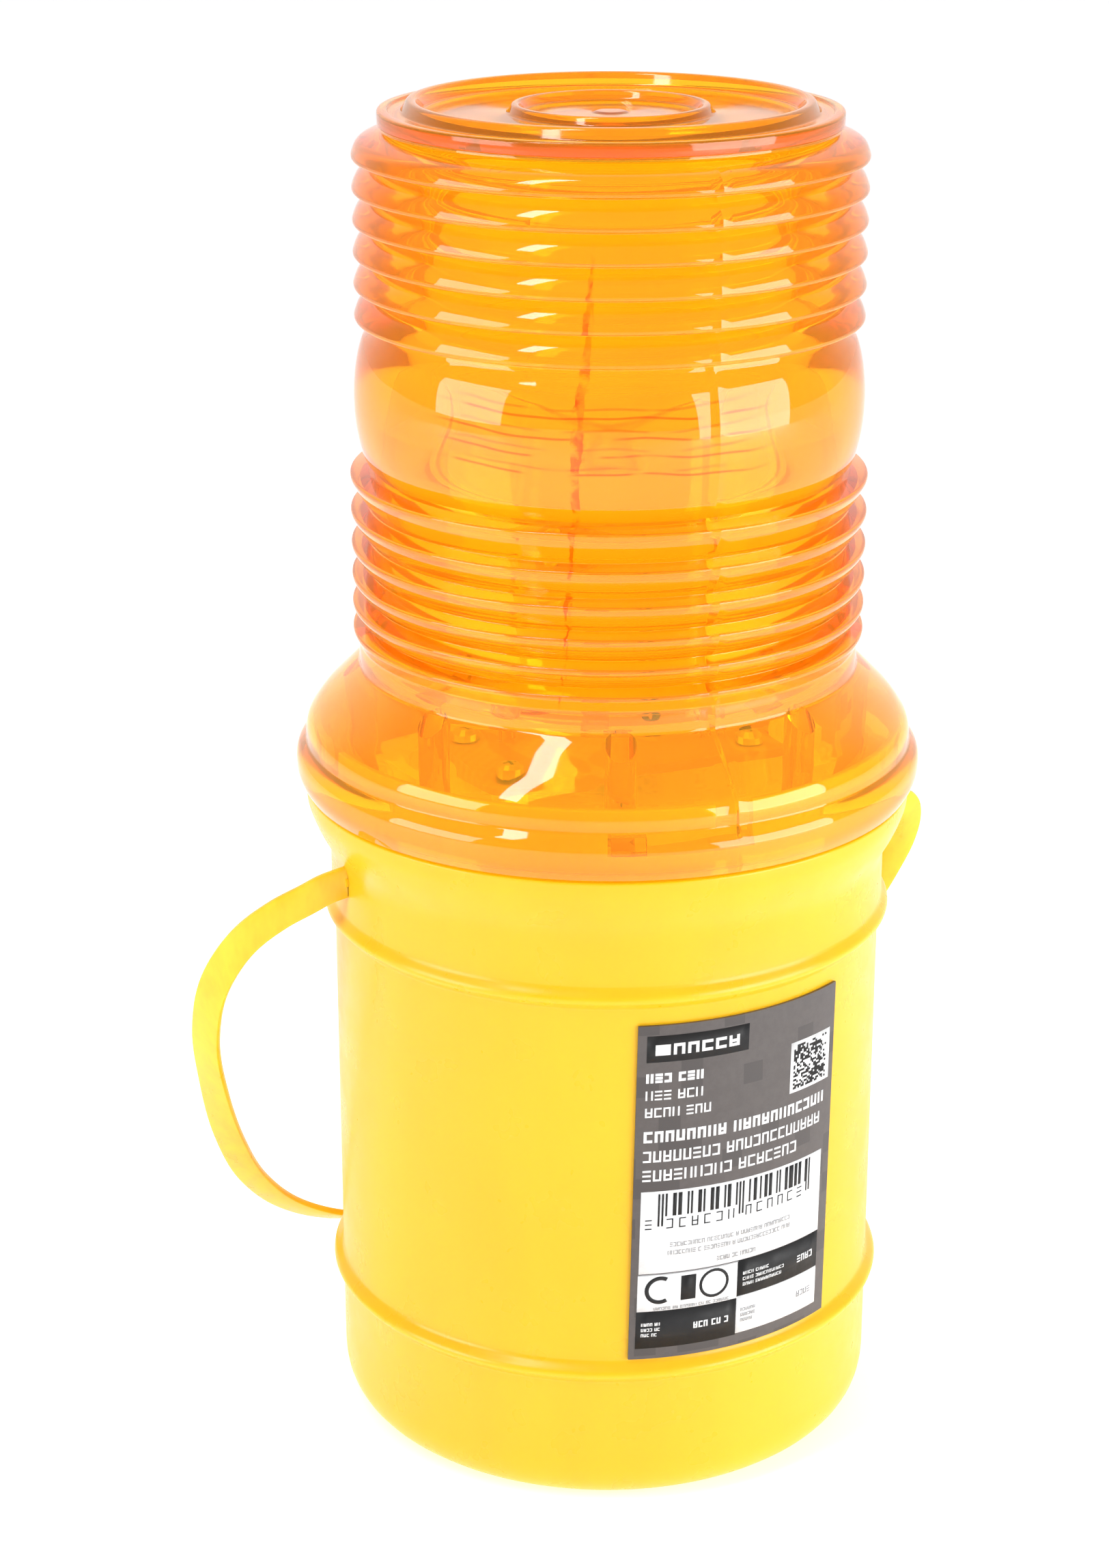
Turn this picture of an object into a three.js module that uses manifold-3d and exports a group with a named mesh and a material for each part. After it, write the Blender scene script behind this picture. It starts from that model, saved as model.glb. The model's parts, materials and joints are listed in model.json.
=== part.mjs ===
// Battery lantern for a road barricade: an amber drum lens with prism rings on a
// yellow bucket body, a flat carrying strap, and a flasher circuit over one square
// 6 V lantern battery.
//
// Frame: millimetres, +Z up, origin at the centre of the foot. The strap's two ends
// sit on the X axis and the lens's parting line faces -Y.
import * as THREE from 'three';
import { mergeVertices } from 'three/addons/utils/BufferGeometryUtils.js';
import Module from 'manifold-3d';

const wasm = await Module();
wasm.setup();

// ---------- driving dimensions ----------
const SEGMENTS = 32;          // sides of the large turned parts
const GAP = 0.3;              // running and assembly gap
const WALL = 1.7;             // body wall
const BODY_R = 47.5;          // body outside radius
const NECK_R = 48.0;          // body radius above the upper bead
const BODY_CORNER = 5.3;      // rounding of the foot's edge
const BEAD_R = 49.2;          // crest of both strengthening beads
const LOWER_BEAD_Z = 26.4;
const UPPER_BEAD_Z = 95.3;
const BEAD_HALF = 2.3;        // half a bead's height
const RIM_Z = 117.0;          // top of the flared rim, under the lens
const RIM_R = 51.9;
const LEDGE_Z = 112.5;        // inner ledge that carries the circuit carrier
const COLLAR_TOP = 128.3;     // top of the collar inside the lens
const COLLAR_R = 49.5;
const COLLAR_BORE = 48.2;
const BORE = BODY_R - WALL;   // inside radius of the body
const FLOOR = 2.0;            // body floor

const FLANGE_R = 53.5;        // widest ring of the lens
const SKIRT_R = 51.65;        // lens skirt above the flange
const SKIRT_BORE = 50.2;
const SKIRT_TOP = 127.5;      // where the shoulder starts
const SHOULDER_TOP = 138.6;   // where the shoulder meets the drum's neck
const NECK_TOP = 141.9;       // top of the neck, under the lowest ring
const NECK = 42.3;            // outside radius of the drum's neck
const DRUM_R = 39.6;          // drum between two prism rings
const RING_R = 42.1;          // crest of an upper prism ring
const UPPER_CREST = 197.6;    // height of the lowest upper ring's crest
const UPPER_PITCH = 5.2;
const LOWER_RING_R = 43.3;    // crest of a lower prism ring
const LOWER_CREST = 171.5;    // height of the highest lower ring's crest
const LOWER_PITCH = 6.3;
const LOWER_CLOSING = 0.2;    // how the lower rings draw together downward
const BULGE_R = 42.4;         // bull's-eye belt of the lens
const BULGE_Z = 184.2;
const BULGE_HALF = 11.6;
const DRUM_BORE_BASE = 38.0;  // the bore tapers so that the core draws out
const DRUM_BORE_TOP = 35.6;
const CAP_R = 37.8;           // lid of the lens
const CAP_UNDER = 228.6;
const CAP_RIM_TOP = 231.0;
const CAP_FACE = 230.2;       // flat top of the lid, between its raised rings
const CAP_TOP = 232.5;        // crest of the raised outer ring
const CEILING = 227.8;        // underside of the lid
const UPPER_RINGS = 6;
const LOWER_RINGS = 6;

const SEAL_BORE = 49.8;       // gasket ring between the flange and the rim
const SEAL_R = 50.75;
const SEAL_TOP = 118.6;

const LABEL_FROM = -18.3;     // azimuths of the label's two edges
const LABEL_TO = 28.8;
const LABEL_LOW = 29.0;
const LABEL_HIGH = 90.4;
const LABEL_T = 0.2;

const POSTS = 8;              // hold-down posts inside the skirt
const POST_R = 2.5;
const POST_PITCH_R = 41.5;
const POST_OFFSET = 1.5;      // degrees from the even pitch
const LOCKS = 4;              // bayonet lugs and slots
const LOCK_TURN = 20;         // degrees from locked to free
const LUG_HALF = 3.2;         // half a lug's width, degrees
const LUG_Z = 121.3;
const LUG_H = 2.6;
const LUG_ROOT_R = 50.7;      // where a lug ends inside the skirt's wall

const STRAP_W = 5.5;          // strap width
const STRAP_T = 1.3;          // strap thickness
const STRAP_Z = 104.2;        // height of the strap's two pivots
const STRAP_LEAN = 30;        // degrees, how far the hanging loop leans back
const STRAP_START = 48.6;     // where the flat blade starts, from the axis
const PIN_R = 1.0;            // round neck of each strap end
const BUTTON_R = 4.2;         // retaining button inside the wall

const CELL = 67;              // square lantern battery
const CELL_CORNER = 10;
const CELL_H = 95;
const CELL_LID = 3.5;
const PAD_H = 2;              // foam pad under the battery
const PLATE_H = 2.5;          // circuit carrier plate
const PLATE_Z = LEDGE_Z + GAP;
const PLATE_TOP = PLATE_Z + PLATE_H;
const BOARD_Z = 122.2;        // underside of the circuit board
const BOARD_T = 1.6;
const BOARD_W = 54;
const BOARD_D = 30;
const BOARD_TOP = BOARD_Z + BOARD_T;
const STRIP_T = 0.5;          // contact strips under the carrier
const STRIP_Z = PLATE_Z - GAP - STRIP_T;

// ---------- materials ----------
function plastic(color, roughness, metalness = 0) {
  return new THREE.MeshStandardMaterial({ color, roughness, metalness });
}
const yellow = plastic(0xffd51f, 0.25);
const amber = plastic(0xff8a14, 0.12);
const strapYellow = plastic(0xffd21c, 0.4);
const carrierYellow = plastic(0xf6a21c, 0.35);
const labelGrey = plastic(0x4a4a4c, 0.5);
const foamGrey = plastic(0x3c3c3e, 0.95);
const black = plastic(0x1b1b1d, 0.5);
const sleeve = plastic(0x1f4f8f, 0.4);
const rubber = plastic(0xf0a030, 0.8);
const laminate = plastic(0xc79a55, 0.45);
const clearAmber = plastic(0xffb040, 0.08);
const steel = plastic(0xb9bcc0, 0.3, 1);
const brass = plastic(0xc9a24a, 0.3, 1);
const tan = plastic(0xcdb083, 0.6);
const white = plastic(0xf2f2ee, 0.4);
const redWire = plastic(0xc0261c, 0.4);

// ---------- geometry helpers ----------
const rad = THREE.MathUtils.degToRad;

// A point at an azimuth counted from -Y towards +X, as seen from above.
function around(azimuth, radius, z = 0) {
  const a = rad(azimuth);
  return new THREE.Vector3(radius * Math.sin(a), -radius * Math.cos(a), z);
}

// Joins shared corners, drops empty triangles and turns the faces outward.
function weld(geometry) {
  const bare = geometry.clone();
  bare.deleteAttribute('normal');
  bare.deleteAttribute('uv');
  const merged = mergeVertices(bare, 1e-4);
  const p = merged.attributes.position;
  const source = merged.index.array;
  const index = [];
  let volume = 0;
  const [a, b, c] = [new THREE.Vector3(), new THREE.Vector3(), new THREE.Vector3()];
  for (let i = 0; i < source.length; i += 3) {
    const [i0, i1, i2] = [source[i], source[i + 1], source[i + 2]];
    if (i0 === i1 || i1 === i2 || i2 === i0) continue;
    index.push(i0, i1, i2);
    a.fromBufferAttribute(p, i0);
    b.fromBufferAttribute(p, i1);
    c.fromBufferAttribute(p, i2);
    volume += a.dot(b.cross(c));
  }
  if (volume < 0) index.reverse();
  merged.setIndex(index);
  return merged;
}

function toSolid(geometry) {
  const welded = weld(geometry);
  return new wasm.Manifold(new wasm.Mesh({
    numProp: 3,
    vertProperties: new Float32Array(welded.attributes.position.array),
    triVerts: new Uint32Array(welded.index.array),
  }));
}

function toGeometry(solid) {
  const mesh = solid.getMesh();
  const geometry = new THREE.BufferGeometry();
  geometry.setAttribute('position', new THREE.BufferAttribute(mesh.vertProperties, 3));
  geometry.setIndex(new THREE.BufferAttribute(mesh.triVerts, 1));
  return geometry;
}

// base joined with every solid of more, then cut by every solid of less.
function combine(base, more = [], less = []) {
  let solid = toSolid(base);
  for (const geometry of more) solid = solid.add(toSolid(geometry));
  for (const geometry of less) solid = solid.subtract(toSolid(geometry));
  return toGeometry(solid);
}

// Only what two solids share.
function shared(one, other) {
  return toGeometry(toSolid(one).intersect(toSolid(other)));
}

// A turned part about Z from [radius, z] points.
function turned(points, segments = SEGMENTS) {
  const profile = points.map(([r, z]) => new THREE.Vector2(r, z));
  return new THREE.LatheGeometry(profile, segments).rotateX(Math.PI / 2);
}

function disc(radius, low, high, segments = 24) {
  return turned([[0, low], [radius, low], [radius, high], [0, high]], segments);
}

// A square-edged ring about Z.
function ring(bore, radius, low, high) {
  return turned([[bore, low], [radius, low], [radius, high], [bore, high], [bore, low]]);
}

function block(w, d, h, x = 0, y = 0, z = 0) {
  return new THREE.BoxGeometry(w, d, h).translate(x, y, z + h / 2);
}

// A round bar along X.
function barX(radius, x0, x1, z, segments = 16) {
  const bar = new THREE.CylinderGeometry(radius, radius, Math.abs(x1 - x0), segments);
  return bar.rotateZ(Math.PI / 2).translate((x0 + x1) / 2, 0, z);
}

function roundedSquare(w, d, corner) {
  const [x, y] = [w / 2 - corner, d / 2 - corner];
  const shape = new THREE.Shape();
  shape.absarc(x, -y, corner, -Math.PI / 2, 0);
  shape.absarc(x, y, corner, 0, Math.PI / 2);
  shape.absarc(-x, y, corner, Math.PI / 2, Math.PI);
  shape.absarc(-x, -y, corner, Math.PI, Math.PI * 1.5);
  shape.closePath();
  return shape;
}

function slab(shape, depth, z, curveSegments = 5) {
  const options = { depth, bevelEnabled: false, curveSegments };
  return new THREE.ExtrudeGeometry(shape, options).translate(0, 0, z);
}

// A sector of a ring between two azimuths.
function sector(r0, r1, from, to, low, high, curveSegments = 8) {
  const shape = new THREE.Shape();
  const [a0, a1] = [rad(from - 90), rad(to - 90)];
  shape.absarc(0, 0, r1, a0, a1, false);
  shape.absarc(0, 0, r0, a1, a0, true);
  shape.closePath();
  return slab(shape, high - low, low, curveSegments);
}

// A round wire along a smooth curve through the points.
function wire(points, radius, steps, sides = 8) {
  const shape = new THREE.Shape().absarc(0, 0, radius, 0, Math.PI * 2);
  const path = new THREE.CatmullRomCurve3(points);
  const options = { steps, extrudePath: path, curveSegments: sides, bevelEnabled: false };
  return new THREE.ExtrudeGeometry(shape, options);
}

// ---------- parts ----------
const lantern = new THREE.Group();

function part(name, geometry, material, parent = lantern) {
  const mesh = new THREE.Mesh(weld(geometry), material);
  mesh.name = name;
  parent.add(mesh);
  return mesh;
}

// Points of a half-round bead on a wall, from below it to above it.
function bead(wallBelow, wallAbove, z) {
  return [
    [wallBelow, z - BEAD_HALF],
    [BEAD_R - 0.45, z - 0.5 * BEAD_HALF],
    [BEAD_R, z],
    [BEAD_R - 0.45, z + 0.5 * BEAD_HALF],
    [wallAbove, z + BEAD_HALF],
  ];
}

// Bayonet slot in the collar: a run that a lug turns along, open to the top at its end.
function bayonetSlot(locked) {
  const half = LUG_HALF + 0.6;
  const [inner, outer] = [COLLAR_BORE - 1, COLLAR_R + 0.15];
  const low = LUG_Z - GAP;
  const run = sector(inner, outer, locked - half, locked + LOCK_TURN + half, low, LUG_Z + LUG_H + GAP);
  const entry = [locked + LOCK_TURN - half, locked + LOCK_TURN + half];
  return [run, sector(inner, outer, entry[0], entry[1], low, COLLAR_TOP + 1)];
}

function lockedAngles() {
  return Array.from({ length: LOCKS }, (_, i) => i * 360 / LOCKS - LOCK_TURN);
}

function bodyShell() {
  const foot = [];
  for (let i = 0; i <= 3; i++) {
    const a = (i / 3) * Math.PI / 2;
    foot.push([
      BODY_R - BODY_CORNER * (1 - Math.sin(a)),
      BODY_CORNER * (1 - Math.cos(a)),
    ]);
  }
  const outline = [
    [0, 0],
    ...foot,
    ...bead(BODY_R, BODY_R, LOWER_BEAD_Z),
    ...bead(BODY_R, NECK_R, UPPER_BEAD_Z),
    [NECK_R, 106.0],
    [49.0, 107.9],
    [50.7, 110.9],
    [51.5, 113.5],
    [RIM_R, 115.4],
    [RIM_R, RIM_Z],
    [COLLAR_R, RIM_Z],
    [COLLAR_R, COLLAR_TOP],
    [COLLAR_BORE, COLLAR_TOP],
    [COLLAR_BORE, LEDGE_Z],
    [BORE, LEDGE_Z],
    [BORE, FLOOR + BODY_CORNER - WALL],
    [BORE - BODY_CORNER + WALL, FLOOR],
    [0, FLOOR],
  ];
  const holes = [-1, 1].map((s) => barX(PIN_R + GAP, s * 40, s * 56, STRAP_Z, 20));
  const slots = lockedAngles().flatMap(bayonetSlot);
  return combine(turned(outline), [], [...holes, ...slots]);
}

// The lens's outside, from the skirt's lower edge to the lid.
function lensOutline() {
  const shoulder = [
    [SKIRT_R, SKIRT_TOP],
    [51.2, 129.2],
    [49.3, 131.6],
    [46.9, 134.1],
    [44.5, 136.4],
    [NECK, SHOULDER_TOP],
    [NECK, NECK_TOP],
  ];
  const lower = [];
  for (let i = LOWER_RINGS - 1; i >= 0; i--) {
    const crest = LOWER_CREST - LOWER_PITCH * i + LOWER_CLOSING * i * i;
    lower.push([LOWER_RING_R, crest], [DRUM_R + 0.7, crest + 0.7]);
  }
  const bulge = [];
  for (let i = 0; i <= 4; i++) {
    const t = i / 2 - 1;
    bulge.push([DRUM_R + (BULGE_R - DRUM_R) * (1 - t * t), BULGE_Z + t * BULGE_HALF]);
  }
  const upper = [];
  for (let i = 0; i < UPPER_RINGS; i++) {
    const crest = UPPER_CREST + UPPER_PITCH * i;
    upper.push([DRUM_R - 0.2, crest - 0.7], [RING_R, crest]);
  }
  return [
    [51.2, RIM_Z + 0.5],
    [52.25, RIM_Z + 0.5],
    [53.0, 118.8],
    [FLANGE_R, 120.2],
    [FLANGE_R, 122.6],
    [52.6, 124.8],
    [SKIRT_R, 125.4],
    ...shoulder,
    ...lower,
    ...bulge,
    ...upper,
    [41.2, 225.6],
    [38.6, 227.4],
    [36.8, 227.8],
    [36.8, CAP_UNDER],
    [CAP_R, CAP_UNDER],
    [CAP_R, CAP_RIM_TOP - 0.3],
    [CAP_R - 0.4, CAP_RIM_TOP],
  ];
}

// The lid's top face: a raised outer ring, a raised inner ring and the gate stub.
function lidOutline() {
  return [
    [36.2, CAP_RIM_TOP],
    [35.9, CAP_FACE + 0.4],
    [33.9, CAP_FACE + 0.4],
    [33.1, CAP_TOP - 0.3],
    [32.6, CAP_TOP],
    [31.7, CAP_TOP],
    [31.1, CAP_TOP - 0.4],
    [30.4, CAP_FACE],
    [16.6, CAP_FACE],
    [16.0, CAP_FACE + 1.5],
    [14.9, CAP_FACE + 1.5],
    [14.3, CAP_FACE],
    [2.9, CAP_FACE],
    [2.4, CAP_FACE + 0.3],
    [0, CAP_FACE + 0.3],
  ];
}

function lens() {
  const bore = [
    [0, CEILING],
    [DRUM_BORE_TOP - 2.5, CEILING],
    [DRUM_BORE_TOP, CEILING - 2.6],
    [DRUM_BORE_BASE, 143.0],
    [DRUM_BORE_BASE + 0.4, 139.0],
    [40.9, 136.9],
    [43.3, 134.8],
    [46.0, 132.3],
    [48.3, 130.1],
    [SKIRT_BORE, 127.8],
    [SKIRT_BORE, 118.9],
    [51.2, 118.9],
  ];
  const shell = turned([...bore, ...lensOutline(), ...lidOutline()]);
  const underShoulder = turned([[0, 100], [49, 100], [49, 130.2], [38, 141.2], [0, 141.2]]);
  const posts = [];
  for (let i = 0; i < POSTS; i++) {
    const at = around((i + 0.5) * 360 / POSTS + POST_OFFSET, POST_PITCH_R);
    const bar = disc(POST_R, PLATE_TOP + GAP, 142, 10).translate(at.x, at.y, 0);
    posts.push(shared(bar, underShoulder));
  }
  const lugs = lockedAngles().map((locked) => {
    const [low, high] = [LUG_Z, LUG_Z + LUG_H];
    return sector(COLLAR_BORE + 0.3, LUG_ROOT_R, locked - LUG_HALF, locked + LUG_HALF, low, high, 2);
  });
  return combine(shell, [...posts, ...lugs]);
}

// The strap's centre line in its own plane, from each end to the bottom:
// [sideways, down the plane].
const STRAP_LEFT = [
  [STRAP_START, 0],
  [51.6, 1.2],
  [54.6, 3.2],
  [59.4, 6.3],
  [64.6, 12],
  [68.4, 23],
  [68.3, 37.6],
  [64.9, 54],
  [59.9, 71],
  [53.2, 86.5],
  [44, 98.5],
  [32, 106.3],
  [16, 109.2],
];
const STRAP_BOTTOM = [0, 109.2];
const STRAP_RIGHT = [
  [STRAP_START, 0],
  [52.5, 0.2],
  [57.2, 0.8],
  [60, 2.6],
  [61.6, 6.5],
  [62.2, 12.5],
  [61.6, 20],
  [60.2, 30],
  [57.5, 45],
  [54.5, 62],
  [50.5, 77],
  [44, 91],
  [34, 101.5],
  [18, 108],
];
// Turn of the blade about its centre line at equal steps along it, in degrees.
const STRAP_TWIST = [60, 42, 40, 62, 64, 52, 50, 56, 75, 95, 110, 60];

function strapBlade() {
  const lean = rad(STRAP_LEAN);
  const down = new THREE.Vector3(0, Math.sin(lean), -Math.cos(lean));
  const normal = new THREE.Vector3(0, Math.cos(lean), Math.sin(lean));
  const place = ([s, t]) => new THREE.Vector3(s, 0, STRAP_Z).addScaledVector(down, t);
  const left = STRAP_LEFT.map(([s, t]) => place([-s, t]));
  const right = STRAP_RIGHT.map(place).reverse();
  const through = [...left, place(STRAP_BOTTOM), ...right];
  const curve = new THREE.CatmullRomCurve3(through, false, 'centripetal');
  const twist = new THREE.SplineCurve(STRAP_TWIST.map((deg, i) => new THREE.Vector2(i, deg)));
  const steps = 72;
  const positions = [];
  for (let i = 0; i <= steps; i++) {
    const centre = curve.getPointAt(i / steps);
    const along = curve.getTangentAt(i / steps);
    if (i === 0 || i === steps) along.set(-1, 0, 0);
    const outward = new THREE.Vector3().crossVectors(normal, along);
    const gamma = rad(i === 0 || i === steps ? 60 : twist.getPoint(i / steps).y);
    const across = normal.clone().multiplyScalar(Math.cos(gamma));
    across.addScaledVector(outward, Math.sin(gamma));
    const thickness = new THREE.Vector3().crossVectors(along, across);
    for (const [w, t] of [[-1, -1], [1, -1], [1, 1], [-1, 1]]) {
      const corner = centre.clone().addScaledVector(across, w * STRAP_W / 2);
      corner.addScaledVector(thickness, t * STRAP_T / 2);
      positions.push(...corner.toArray());
    }
  }
  const index = [0, 2, 1, 0, 3, 2];
  for (let i = 0; i < steps; i++) {
    for (let side = 0; side < 4; side++) {
      const [a, b] = [4 * i + side, 4 * i + (side + 1) % 4];
      index.push(a, b, b + 4, a, b + 4, a + 4);
    }
  }
  const last = 4 * steps;
  index.push(last, last + 1, last + 2, last, last + 2, last + 3);
  const geometry = new THREE.BufferGeometry();
  geometry.setAttribute('position', new THREE.Float32BufferAttribute(positions, 3));
  geometry.setIndex(index);
  return geometry;
}

function strap() {
  const ends = [-1, 1].flatMap((s) => [
    barX(PIN_R, s * 44.5, s * (STRAP_START + 0.4), STRAP_Z, 12),
    barX(BUTTON_R, s * 43.4, s * 45.1, STRAP_Z, 16),
  ]);
  return combine(strapBlade(), ends);
}

function label() {
  const back = BODY_R + GAP;
  return sector(back, back + LABEL_T, LABEL_FROM, LABEL_TO, LABEL_LOW, LABEL_HIGH);
}

// Battery terminals, and where each one's wire passes up through the carrier.
const TERMINALS = [
  { name: 'plus', x: 0, y: 0, hole: 18.5 },
  { name: 'minus', x: 20, y: 20, hole: 28 },
];

function battery() {
  const base = FLOOR + GAP + PAD_H + GAP;
  part('battery_pad', slab(roundedSquare(CELL - 3, CELL - 3, CELL_CORNER), PAD_H, FLOOR + GAP), foamGrey);
  part('battery_case', slab(roundedSquare(CELL, CELL, CELL_CORNER), CELL_H, base), sleeve);
  const lidZ = base + CELL_H + GAP;
  part('battery_lid', slab(roundedSquare(CELL, CELL, CELL_CORNER), CELL_LID, lidZ), black);
  const springZ = lidZ + CELL_LID + GAP;
  for (const { name, x, y, hole } of TERMINALS) {
    part(`battery_spring_${name}`, terminalSpring(springZ, STRIP_Z - GAP).translate(x, y, 0), steel);
    const length = hole - y + 8;
    const strip = block(9, length, STRIP_T, x, y - 5 + length / 2, STRIP_Z);
    part(`contact_strip_${name}`, strip, brass);
  }
}

// A conical coil spring between two heights.
function terminalSpring(low, high) {
  const turns = 3.5;
  const wireR = 0.5;
  const steps = 30;
  const points = [];
  for (let i = 0; i <= steps; i++) {
    const t = i / steps;
    const a = t * turns * Math.PI * 2;
    const r = 5.5 - 2.6 * t;
    const z = THREE.MathUtils.lerp(low + wireR, high - wireR, t);
    points.push(new THREE.Vector3(r * Math.cos(a), r * Math.sin(a), z));
  }
  return wire(points, wireR, steps, 3);
}

// Board corners on their pegs.
const STANDOFFS = [[-22, 10], [22, 10], [-22, -10], [22, -10]];

function carrier() {
  const pegs = STANDOFFS.map(([x, y]) => disc(3, PLATE_TOP - 0.5, BOARD_Z - GAP, 16).translate(x, y, 0));
  const tabs = [-1, 1].map((s) => block(3, 14, 9, s * 36, 0, PLATE_TOP - 0.5));
  const lip = ring(37.6, 38.7, PLATE_TOP - 0.5, PLATE_TOP + 1.6);
  const pilots = STANDOFFS.map(([x, y]) => disc(1.5, PLATE_TOP, BOARD_Z + 1, 12).translate(x, y, 0));
  const wireHoles = TERMINALS.map(({ x, hole }) => (
    disc(1.6, PLATE_Z - 1, PLATE_TOP + 1, 12).translate(x, hole, 0)));
  const plate = disc(COLLAR_BORE - GAP, PLATE_Z, PLATE_TOP, SEGMENTS);
  part('circuit_carrier', combine(plate, [...pegs, ...tabs, lip], [...pilots, ...wireHoles]), carrierYellow);
}

function circuitBoard() {
  const holes = STANDOFFS.map(([x, y]) => disc(1.6, BOARD_Z - 1, BOARD_TOP + 1, 12).translate(x, y, 0));
  const board = slab(roundedSquare(BOARD_W, BOARD_D, 2), BOARD_T, BOARD_Z, 3);
  part('circuit_board', combine(board, [], holes), laminate);
  STANDOFFS.forEach(([x, y], i) => {
    part(`board_screw_${i + 1}`, screw().translate(x, y, BOARD_TOP + GAP), steel);
  });
}

// Pan-head screw with a cross recess, head underside at z = 0.
function screw() {
  const body = turned([[0, -6.2], [1.1, -5.2], [1.1, 0], [2.4, 0], [2.3, 0.9], [1.5, 1.6], [0, 1.8]], 14);
  const cross = [block(2.4, 0.5, 2, 0, 0, 0.9), block(0.5, 2.4, 2, 0, 0, 0.9)];
  return combine(body, [], cross);
}

// 5 mm lamp standing on two legs, base of the body at z = 0.
function led() {
  const dome = [];
  for (let i = 0; i <= 4; i++) {
    const a = (i / 4) * Math.PI / 2;
    dome.push([2.5 * Math.cos(a), 6 + 2.5 * Math.sin(a)]);
  }
  dome[4][0] = 0;
  const legs = [-1.27, 1.27].map((x) => block(0.5, 0.5, 3.2, x, 0, -3));
  return combine(turned([[0, 0], [2.9, 0], [2.9, 1], [2.5, 1], ...dome], 20), legs);
}

// An axial component lying on the board between two bent legs, centred on its middle.
function axial(length, radius, pitch) {
  const ends = radius * 0.75;
  const body = turned([[0, -length / 2], [radius, -length / 2 + 0.3], [radius, -length / 4],
    [ends, -length / 5], [ends, length / 5], [radius, length / 4],
    [radius, length / 2 - 0.3], [0, length / 2]], 12).rotateY(Math.PI / 2);
  const drop = radius + 0.2;
  const legs = [-1, 1].flatMap((s) => [
    block(pitch / 2 - length / 2 + 0.6, 0.5, 0.5, s * (pitch / 2 + length / 2 - 0.6) / 2, 0, -0.25),
    block(0.5, 0.5, drop + 0.25, s * (pitch / 2 - 0.05), 0, -drop),
  ]);
  return combine(body, legs);
}

function components() {
  const top = BOARD_TOP + GAP;
  part('led_1', led().translate(16, -6, top + 3), clearAmber);
  part('led_2', led().translate(-16, 6, top + 3), clearAmber);
  const pins = [];
  for (let i = 0; i < 4; i++) {
    for (const side of [-1, 1]) pins.push(block(0.6, 1, 1.6, -3.81 + 2.54 * i, side * 3.6, 0));
  }
  hang('flasher_chip', combine(block(9.6, 6.4, 3.2, 0, 0, 0.8), pins), -6, 8, 0, black);
  hang('resistor_1', axial(6.3, 1.2, 10), 6, 1.5, 1.4, tan);
  hang('resistor_2', axial(6.3, 1.2, 10), 6, -4, 1.4, tan);
  const can = turned([[0, 0], [2.5, 0], [2.5, 0.7], [2.3, 1], [2.5, 1.3], [2.5, 5.6], [2.2, 6], [0, 6]], 18);
  hang('timing_capacitor', can, 4.5, 9, 0, black);
  const transistor = new THREE.Shape().absarc(0, 0, 2.3, rad(-40), rad(220));
  const leads = [-1.2, 0, 1.2].map((x) => block(0.5, 0.5, 1.4, x, 0.6, -1.2));
  hang('driver_transistor', combine(slab(transistor, 4, 0, 8), leads), 12, 8.5, 1.2, black);
  const cell = turned([[0, 0], [1.1, 0], [1.1, 0.5], [0.9, 0.7], [0.9, 2.7], [0.6, 3.3], [0, 3.5]], 16);
  part('light_sensor', cell.translate(24.3, -4, top), black);
}

// A component on the underside of the board, built upright with its feet at -lift.
function hang(name, geometry, x, y, lift, material) {
  part(name, geometry.rotateX(Math.PI).translate(x, y, BOARD_Z - GAP - lift), material);
}

function powerSwitch() {
  const [x, y] = [30.6, -10.4];
  const housing = block(6, 12, 6);
  const slot = block(3, 6.6, 4, 0, 0, 4.2);
  part('switch_housing', combine(housing, [], [slot]).translate(x, y, PLATE_TOP + GAP), carrierYellow);
  const knob = combine(block(2.2, 3, 4.2, 0, -1.4, 4.6), [block(1.6, 1.4, 1, 0, -1.4, 8.4)]);
  part('switch_slider', knob.translate(x, y, PLATE_TOP + GAP), white);
}

// Supply wires from the contact strips, up through the carrier and over to the board.
function wires() {
  const arches = {
    plus: [[-2, 19.5, 122.5], [-7, 19, 126.5], [-11.5, 15.8, 127.3], [-13, 12.8, 126], [-13, 12.3]],
    minus: [[19.6, 26.5, 122.5], [18, 22, 126.4], [16, 16, 127.2], [15, 12.8, 126], [15, 12.2]],
  };
  const colours = { plus: redWire, minus: black };
  for (const { name, x, hole } of TERMINALS) {
    const foot = STRIP_Z + STRIP_T + GAP;
    const rise = [[x, hole, foot], [x, hole, PLATE_TOP + 2.5]];
    const route = [...rise, ...arches[name]].map(([px, py, pz = BOARD_TOP + GAP]) => (
      new THREE.Vector3(px, py, pz)));
    part(`wire_${name}`, wire(route, 0.75, 16, 4), colours[name]);
  }
}

part('body_shell', bodyShell(), yellow);
part('lens', lens(), amber);
part('lens_seal', ring(SEAL_BORE, SEAL_R, RIM_Z + GAP, SEAL_TOP), rubber);
part('strap_handle', strap(), strapYellow);
part('label', label(), labelGrey);
battery();
carrier();
circuitBoard();
components();
powerSwitch();
wires();

export default lantern;
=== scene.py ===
"""Looks of the barricade lantern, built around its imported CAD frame.

Sizes are in millimetres where a name or a helper says so, and metres in Blender. The
azimuth of a point is counted in degrees from -Y towards +X, as seen from above.
"""

import json
import math
import random

import bpy
from mathutils import Matrix, Vector


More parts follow.
